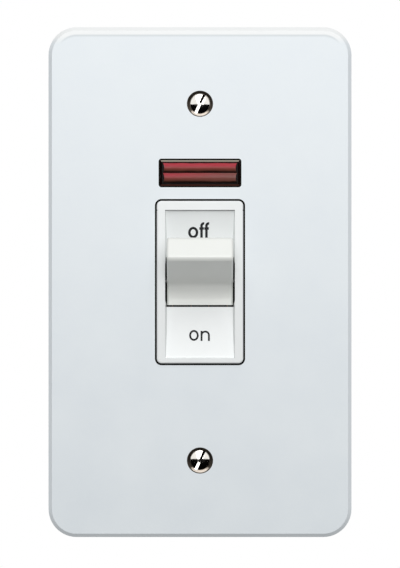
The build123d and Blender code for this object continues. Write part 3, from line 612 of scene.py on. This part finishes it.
# Plunger springs: coils of hard-drawn steel wire, grey with fine draw marks, in the dolly's bores.
# They ride with the dolly, one behind each plunger.
spring_steel = metal("spring_wire", dull="#7E8286", bright="#9DA1A5",
                     grain=0.3 * mm, run=(1, 1, 6), rough=0.3, marks=0.003 * mm)[0]
wire_r = 0.25 * mm
coil_r = 1.6 * mm
coil_turns = 4
coil_front = -5.7 * mm
coil_back = 1.7 * mm
joints = {joint["name"]: joint for joint in frame["joints"]}
pivot = np.array(joints["dolly_rock"]["pos_m"])
back = -np.array(joints["plunger_left_slide"]["axis"])
out = np.array([1.0, 0.0, 0.0])
rise = np.cross(back, out)


def coil(x):
    """A round wire of angle v about a helix of angle u: the middle moves along the bore with u, and the
    wire's section lies in the plane of the spoke and the axis."""
    turn_points, wire_points = 40, 13
    u = np.linspace(0, 2 * pi * coil_turns, turn_points * coil_turns + 1)[:, None, None]
    v = np.linspace(0, 2 * pi, wire_points)[None, :, None]
    spoke = np.cos(u) * out + np.sin(u) * rise
    along = coil_front + (coil_back - coil_front) * u / (2 * pi * coil_turns)
    middle = pivot + x * out + along * back + coil_r * spoke
    tube = middle + wire_r * (np.cos(v) * spoke + np.sin(v) * back)
    return np.concatenate([middle[:1] + 0 * tube[:1], tube, middle[-1:] + 0 * tube[-1:]])


for side in ("left", "right"):
    low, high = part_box(f"plunger_{side}")
    spring = make_piece(f"round_spring_{side}", [coil((low.x + high.x) / 2)], spring_steel, "dolly",
                        "spring_steel", f"plunger_spring_{side}")
    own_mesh(spring)

# Small fasteners: cheese-headed slotted screws put in from the back, brass at the terminals and zinc
# plated steel in the cover and the ears, where they go into two turned pillars behind the plate.
# Their slots are darkened as painted shade.
zinc = metal("zinc_plated_steel", dull="#A4A9AE", bright="#C3C7C9",
             grain=0.7 * mm, run=(1, 1, 1), rough=0.32, marks=0.005 * mm)[0]
screw_brass = metal("turned_brass", dull="#B8924A", bright="#D4B36A",
                    grain=0.3 * mm, run=(1, 4, 1), rough=0.22, marks=0.004 * mm)[0]
coat(zinc, "mounting_pillars")
crown_height = 0.25 * mm
saw_r = 14 * mm
thread_share = 0.6
slot_share = (0.12, 0.65)
slot_shade_share = 0.95
first_lean = 20
next_lean = 67

# Each kind: its finish, the record's slot, the radii of shank and head, the head's height and the pitch.
fasteners = {"terminal_screws": (screw_brass, "brass_screw", 2.4 * mm, 3.3 * mm, 2.2 * mm, 0.8 * mm),
             "earth_screw": (screw_brass, "brass_screw", 1.9 * mm, 2.7 * mm, 1.8 * mm, 0.7 * mm),
             "base_screws": (zinc, "zinc_steel", 1.5 * mm, 2.9 * mm, 2.0 * mm, 0.5 * mm),
             "cover_screws": (zinc, "zinc_steel", 1.2 * mm, 2.4 * mm, 1.4 * mm, 0.45 * mm)}


def screw_rows(low, high, head_r):
    """Where the axes lie along one side of a box: a head's radius inside its two ends, or at its middle
    where one head fills it."""
    return (low + head_r, high - head_r) if high - low > 3 * head_r else ((low + high) / 2,)


for node, (material, slot, shank_r, head_r, head_height, pitch) in fasteners.items():
    low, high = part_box(node)
    core_r = shank_r - thread_share * pitch
    rings = [(head_r, head_height), (core_r, head_height)]
    thread = (core_r, shank_r, pitch, high.y - low.y)
    cut = (slot_share[0] * head_r, slot_share[1] * head_height, saw_r, slot_shade_share)
    sheets, lean = [], first_lean
    for x in screw_rows(low.x, high.x, head_r):
        for z in screw_rows(low.z, high.z, head_r):
            sheets += slotted_screw((x, high.y, z), -1, (head_r, crown_height), cut, lean, rings, thread)
            lean += next_lean
    make_piece(f"{node}_turned", sheets, material, "housing", slot, node)

# Indicator lamp: a clear glass envelope with two nickel rods, fed through a series resistor.
# Its leads are tinned copper wire, and the resistor is lacquered with four brown bands.
glass_ripple = 3 * mm
glass, tree, place = start_material("lamp_glass")
tone = mottle(tree, place, glass_ripple, "#F2F5F4", "#FFFFFF", detail=1)
shader = add_node(tree, "BsdfPrincipled", {"Base Color": tone, "Roughness": 0.02, "IOR": 1.5,
                                           "Transmission Weight": 1})
add_node(tree, "OutputMaterial", {"Surface": shader})
coat(glass, "neon_lamp")
tinned = metal("tinned_copper_wire", dull="#B4B4AE", bright="#CDCDC8",
               grain=0.3 * mm, run=(6, 1, 1), rough=0.3, marks=0.003 * mm)[0]
coat(tinned, "neon_lead_live", "neon_lead_neutral")
coat(nickel, "neon_electrodes")

band_pitch = 1.5 * mm
band_share = 0.45
lacquer_speck = 0.8 * mm
resistor, tree, place = start_material("resistor_lacquer")
lacquer = mottle(tree, place, lacquer_speck, "#B79B72", "#C6AC84", detail=2)
spot = add_node(tree, "SeparateXYZ", {0: place}).outputs
step = add_node(tree, "Math", {0: spot["X"], 1: 1 / band_pitch}, operation="MULTIPLY")
step = add_node(tree, "Math", {0: step}, operation="FRACT")
band = add_node(tree, "Math", {0: step, 1: band_share}, operation="LESS_THAN")
tone = add_node(tree, "Mix", {0: band, 6: lacquer, 7: linear("#5B3320")}, data_type="RGBA")
shader = add_node(tree, "BsdfPrincipled", {"Base Color": tone, "Roughness": 0.35})
add_node(tree, "OutputMaterial", {"Surface": shader})
coat(resistor, "neon_resistor")

# Studio: a pale table top below the switch, two soft lights in front, one behind, and white all round.
# A dark card that only reflections see stands low in front, as the dark side of a studio does.
scene = bpy.context.scene
scene.view_settings.view_transform = "Standard"


def flat_prop(name, corners, material):
    """A four-cornered sheet of the stage."""
    mesh = bpy.data.meshes.new(name)
    mesh.from_pydata(corners, [], [(0, 1, 2, 3)])
    mesh.materials.append(material)
    prop = bpy.data.objects.new(name, mesh)
    scene.collection.objects.link(prop)
    return prop


table_weave = 30 * mm
table_z = -130 * mm
table_side = 450 * mm
table_depth = 300 * mm
pale, tree, place = start_material("pale_table_top")
tone = mottle(tree, place, table_weave, "#E6E6E4", "#EDEDEB", detail=3)
shader = add_node(tree, "BsdfPrincipled", {"Base Color": tone, "Roughness": 0.7})
add_node(tree, "OutputMaterial", {"Surface": shader})
table = flat_prop("table_top", [(-table_side, -table_side, table_z), (table_side, -table_side, table_z),
                                (table_side, table_depth, table_z), (-table_side, table_depth, table_z)],
                  pale)
table.visible_diffuse = False
table.visible_glossy = False

card_y = -1000 * mm
card_top = 60 * mm
card_reach = 3000 * mm
card_black, tree = start_material("dark_card")[:2]
shader = add_node(tree, "BsdfDiffuse", {"Color": linear("#0C0C0C")})
add_node(tree, "OutputMaterial", {"Surface": shader})
card = flat_prop("dark_card", [(-card_reach, card_y, -card_reach), (card_reach, card_y, -card_reach),
                               (card_reach, card_y, card_top), (-card_reach, card_y, card_top)], card_black)
card.visible_camera = False
card.visible_diffuse = False
card.visible_shadow = False
card.visible_transmission = False


def soft_light(name, spot, size, power):
    """A square area light at a spot, turned to the origin, which only the camera doesn't see."""
    data = bpy.data.lights.new(name, "AREA")
    data.energy = power
    data.size = size
    lamp = bpy.data.objects.new(name, data)
    lamp.location = spot
    lamp.rotation_euler = (-Vector(spot)).to_track_quat("-Z", "Y").to_euler()
    lamp.visible_camera = False
    scene.collection.objects.link(lamp)


soft_light("front_softbox", spot=(0.05, -1.05, 0.3), size=0.7, power=5.2)
soft_light("key_softbox", spot=(0.06, -0.8, 0.75), size=1.0, power=5.4)
soft_light("rear_softbox", spot=(-0.4, 0.9, 0.5), size=0.7, power=6.0)

white_level = 1
light_level = 0.275
world = bpy.data.worlds.new("white_studio")
scene.world = world
world.use_nodes = True
tree = world.node_tree
tree.nodes.clear()
ray = add_node(tree, "LightPath").outputs
seen = add_node(tree, "Math", {0: ray["Is Camera Ray"], 1: ray["Is Glossy Ray"]}, operation="MAXIMUM")
seen = add_node(tree, "Math", {0: seen, 1: ray["Is Transmission Ray"]}, operation="MAXIMUM")
around = add_node(tree, "Background", {"Color": linear("#FFFFFF"), "Strength": light_level})
white = add_node(tree, "Background", {"Color": linear("#FFFFFF"), "Strength": white_level})
both = add_node(tree, "MixShader", {0: seen, 1: around, 2: white})
add_node(tree, "OutputWorld", {"Surface": both})

# Camera: straight in front of the plate and far off, so that the plate fills the upright frame
# without much perspective, as in a catalogue picture.
view_distance = 1200 * mm
frame_height = 192 * mm
camera_z = -0.64 * mm
camera_data = bpy.data.cameras.new("camera")
camera_data.sensor_width = 36
camera_data.lens = camera_data.sensor_width * view_distance / frame_height
camera = bpy.data.objects.new("camera", camera_data)
camera.location = (0, plate_face - view_distance, camera_z)
camera.rotation_euler = (radians(90), 0, 0)
scene.collection.objects.link(camera)
scene.camera = camera
